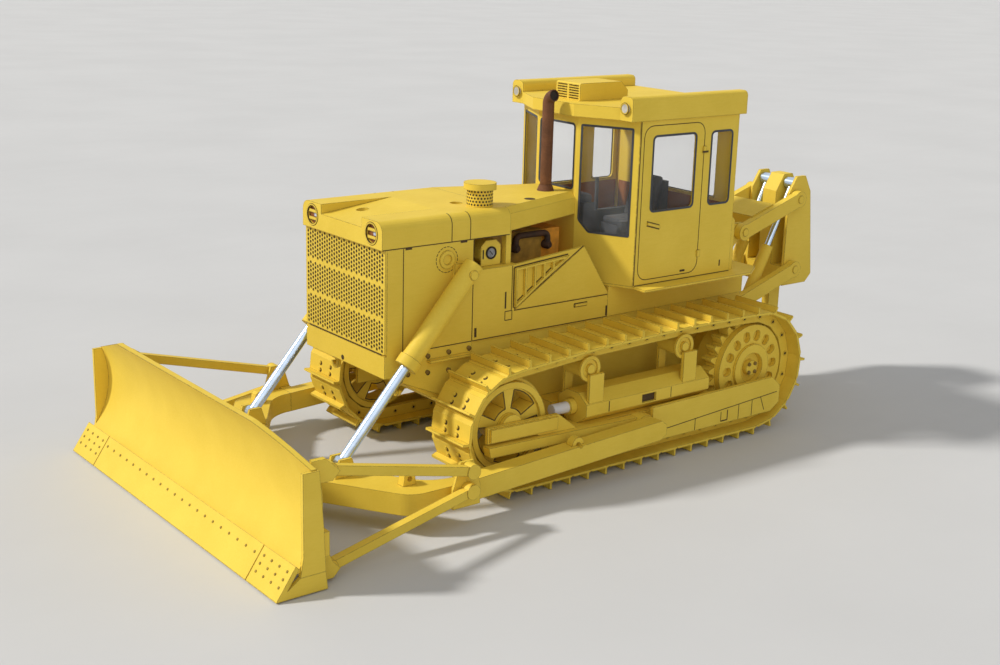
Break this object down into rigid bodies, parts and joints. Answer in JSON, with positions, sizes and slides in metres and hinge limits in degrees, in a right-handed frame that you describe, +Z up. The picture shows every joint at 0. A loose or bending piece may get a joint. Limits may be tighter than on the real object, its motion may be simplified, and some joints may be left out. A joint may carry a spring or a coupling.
{
  "type": "card scale model of a crawler bulldozer with rear ripper",
  "caption": "Yellow card scale model of a crawler bulldozer: glazed cab, fixed tracks, angle blade on a lifting push frame with lift cylinders, and a parallelogram rear ripper.",
  "frame": {"origin": "middle of the bounding box at ground level, under the tracks' shoes", "axes": "+X forward to the blade, +Y to the machine's left, +Z up"},
  "size_m": [0.2782, 0.1392, 0.1245],
  "materials": {
    "card_yellow": "matte",
    "card_brown": "matte",
    "card_grey": "matte",
    "card_white": "matte",
    "engine_dark": "matte",
    "film_clear": "clear film",
    "lamp_clear": "clear",
    "rod_chrome": "polished"
  },
  "bodies": {
    "tractor": {"main_frame": "card_yellow", "rear_case": "card_yellow", "engine_block": "engine_dark", "manifold": "card_brown", "radiator_housing": "card_yellow", "grille": "card_yellow", "hood_front": "card_yellow", "hood_rear": "card_yellow", "lamps": "lamp_clear", "side_panels": "card_yellow", "fender_panels": "card_yellow", "gauge_box": "card_yellow", "air_cleaner": "card_yellow", "exhaust_stack": "card_brown", "deck": "card_yellow", "cab_front": "card_yellow", "cab_left": "card_yellow", "cab_right": "card_yellow", "cab_rear": "card_yellow", "cab_glass": "film_clear", "roof": "card_yellow", "roof_vent": "card_yellow", "seat": "card_grey", "console": "card_grey", "left_track": "card_yellow", "right_track": "card_yellow", "sprockets": "card_yellow", "idlers": "card_yellow", "track_frames": "card_yellow", "track_rollers": "card_yellow", "recoil_rods": "card_white", "lift_brackets": "card_yellow", "ripper_support": "card_yellow"},
    "blade_frame": {"push_beams": "card_yellow", "push_legs": "card_yellow", "push_nose": "card_yellow", "blade": "card_yellow", "cutting_edge": "card_yellow", "struts": "card_yellow"},
    "left_lift_barrel": {"left_lift_barrel": "card_yellow"},
    "left_lift_rod": {"left_lift_rod": "rod_chrome"},
    "right_lift_barrel": {"right_lift_barrel": "card_yellow"},
    "right_lift_rod": {"right_lift_rod": "rod_chrome"},
    "ripper_arms": {"ripper_arms": "card_yellow"},
    "ripper_link": {"ripper_link": "card_yellow"},
    "ripper_post": {"ripper_beam": "card_yellow", "ripper_shank": "card_yellow"},
    "left_ripper_barrel": {"left_ripper_barrel": "card_yellow"},
    "left_ripper_rod": {"left_ripper_rod": "rod_chrome"},
    "right_ripper_barrel": {"right_ripper_barrel": "card_yellow"},
    "right_ripper_rod": {"right_ripper_rod": "rod_chrome"}
  },
  "joints": [
    {"name": "blade_lift", "type": "hinge", "parent": "tractor", "child": "blade_frame", "pos_m": [-0.0137, 0, 0.0142], "axis": [0, -1, 0], "range_deg": [-5, 13]},
    {"name": "left_lift_swing", "type": "hinge", "parent": "tractor", "child": "left_lift_barrel", "pos_m": [0.047, 0.0282, 0.0704], "axis": [0, -1, 0], "range_deg": [-8, 17]},
    {"name": "left_lift_slide", "type": "slide", "parent": "left_lift_barrel", "child": "left_lift_rod", "axis": [0.6573, 0, -0.7536], "range_m": [-0.0205, 0.0085]},
    {"name": "right_lift_swing", "type": "hinge", "parent": "tractor", "child": "right_lift_barrel", "pos_m": [0.047, -0.0282, 0.0704], "axis": [0, -1, 0], "range_deg": [-8, 17]},
    {"name": "right_lift_slide", "type": "slide", "parent": "right_lift_barrel", "child": "right_lift_rod", "axis": [0.6573, 0, -0.7536], "range_m": [-0.0205, 0.0085]},
    {"name": "ripper_lift", "type": "hinge", "parent": "tractor", "child": "ripper_arms", "pos_m": [-0.0952, 0, 0.038], "axis": [0, -1, 0], "range_deg": [0, 44]},
    {"name": "ripper_link_swing", "type": "hinge", "parent": "tractor", "child": "ripper_link", "pos_m": [-0.0952, 0, 0.066], "axis": [0, -1, 0], "range_deg": [-1, 46]},
    {"name": "ripper_post_turn", "type": "hinge", "parent": "ripper_arms", "child": "ripper_post", "pos_m": [-0.12563, 0, 0.04789], "axis": [0, -1, 0], "range_deg": [-46, 1]},
    {"name": "left_ripper_swing", "type": "hinge", "parent": "tractor", "child": "left_ripper_barrel", "pos_m": [-0.1014, 0.0063, 0.0274], "axis": [0, -1, 0], "range_deg": [-1, 16]},
    {"name": "left_ripper_slide", "type": "slide", "parent": "left_ripper_barrel", "child": "left_ripper_rod", "axis": [-0.4452, 0, 0.8954], "range_m": [-0.0225, 0.001]},
    {"name": "right_ripper_swing", "type": "hinge", "parent": "tractor", "child": "right_ripper_barrel", "pos_m": [-0.1014, -0.0063, 0.0274], "axis": [0, -1, 0], "range_deg": [-1, 16]},
    {"name": "right_ripper_slide", "type": "slide", "parent": "right_ripper_barrel", "child": "right_ripper_rod", "axis": [-0.4452, 0, 0.8954], "range_m": [-0.0225, 0.001]}
  ],
  "couplings": [
    {"joint": "left_lift_swing", "follows": "blade_lift", "ratio": 1.0559},
    {"joint": "left_lift_slide", "follows": "blade_lift", "m_per_rad": -0.08224},
    {"joint": "right_lift_swing", "follows": "blade_lift", "ratio": 1.0559},
    {"joint": "right_lift_slide", "follows": "blade_lift", "m_per_rad": -0.08224},
    {"joint": "ripper_link_swing", "follows": "ripper_lift", "ratio": 1},
    {"joint": "ripper_post_turn", "follows": "ripper_lift", "ratio": -1},
    {"joint": "left_ripper_swing", "follows": "ripper_lift", "ratio": 0.3268},
    {"joint": "left_ripper_slide", "follows": "ripper_lift", "m_per_rad": -0.02677},
    {"joint": "right_ripper_swing", "follows": "ripper_lift", "ratio": 0.3268},
    {"joint": "right_ripper_slide", "follows": "ripper_lift", "m_per_rad": -0.02677}
  ]
}
